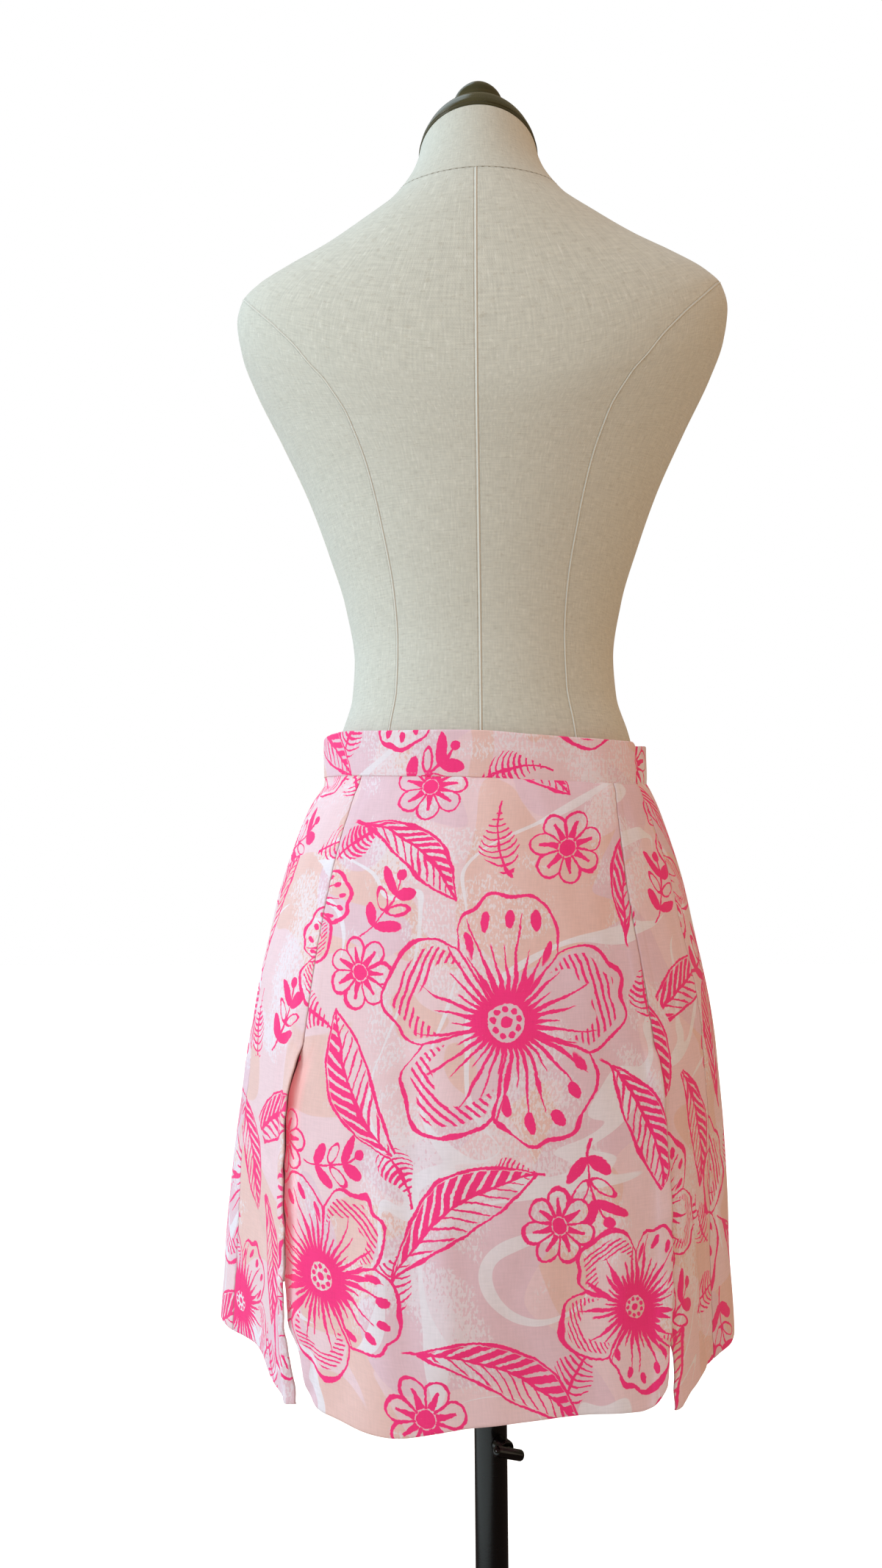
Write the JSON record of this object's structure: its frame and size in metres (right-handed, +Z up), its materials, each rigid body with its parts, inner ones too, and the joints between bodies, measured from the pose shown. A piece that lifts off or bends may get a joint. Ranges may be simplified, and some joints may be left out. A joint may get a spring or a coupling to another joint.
{
  "type": "skort on a limbless dress form",
  "caption": "Short printed skort with back slits and built-in shorts, worn by a limbless dress form on a round-based stand that slides and turns.",
  "frame": {"origin": "on the floor at the middle of the round base, under the pole", "axes": "+Z up along the pole; the skort's back with its two slits faces -Y, the wearer's front faces +Y and the wearer's right is +X"},
  "size_m": [0.4227, 0.345, 1.5611],
  "materials": {
    "printed_cloth": "matt woven cotton, pale pink brushed ground with hot pink hand-drawn line print",
    "shorts_cloth": "matt plain pale pink woven cotton",
    "linen": "matt natural linen canvas, fine plain weave",
    "cap_gloss": "glossy dark olive brown lacquer",
    "pole_black": "satin black enamel",
    "hook_steel": "plain flat hook"
  },
  "bodies": {
    "stand": {"stand_base": "pole_black", "stand_tube": "pole_black", "clamp_boss": "pole_black"},
    "rod": {"form_rod": "pole_black"},
    "form": {"torso": "linen", "neck_cap": "cap_gloss", "neck_knob": "cap_gloss", "waistband": "printed_cloth", "waist_hook": "hook_steel", "back_center_panel": "printed_cloth", "back_side_panel_left": "printed_cloth", "back_side_panel_right": "printed_cloth", "front_panel": "printed_cloth", "shorts_left": "shorts_cloth", "shorts_right": "shorts_cloth"},
    "clamp": {"clamp_bar": "pole_black"}
  },
  "joints": [
    {"name": "height_slide", "type": "slide", "parent": "stand", "child": "rod", "axis": [0, 0, 1], "range_m": [-0.12, 0.2]},
    {"name": "form_turn", "type": "hinge", "parent": "rod", "child": "form", "pos_m": [0, 0, 0.77], "axis": [0, 0, 1], "continuous": true},
    {"name": "clamp_screw", "type": "hinge", "parent": "stand", "child": "clamp", "pos_m": [0, 0, 0.442], "axis": [0.5446, -0.8387, 0], "continuous": true}
  ]
}
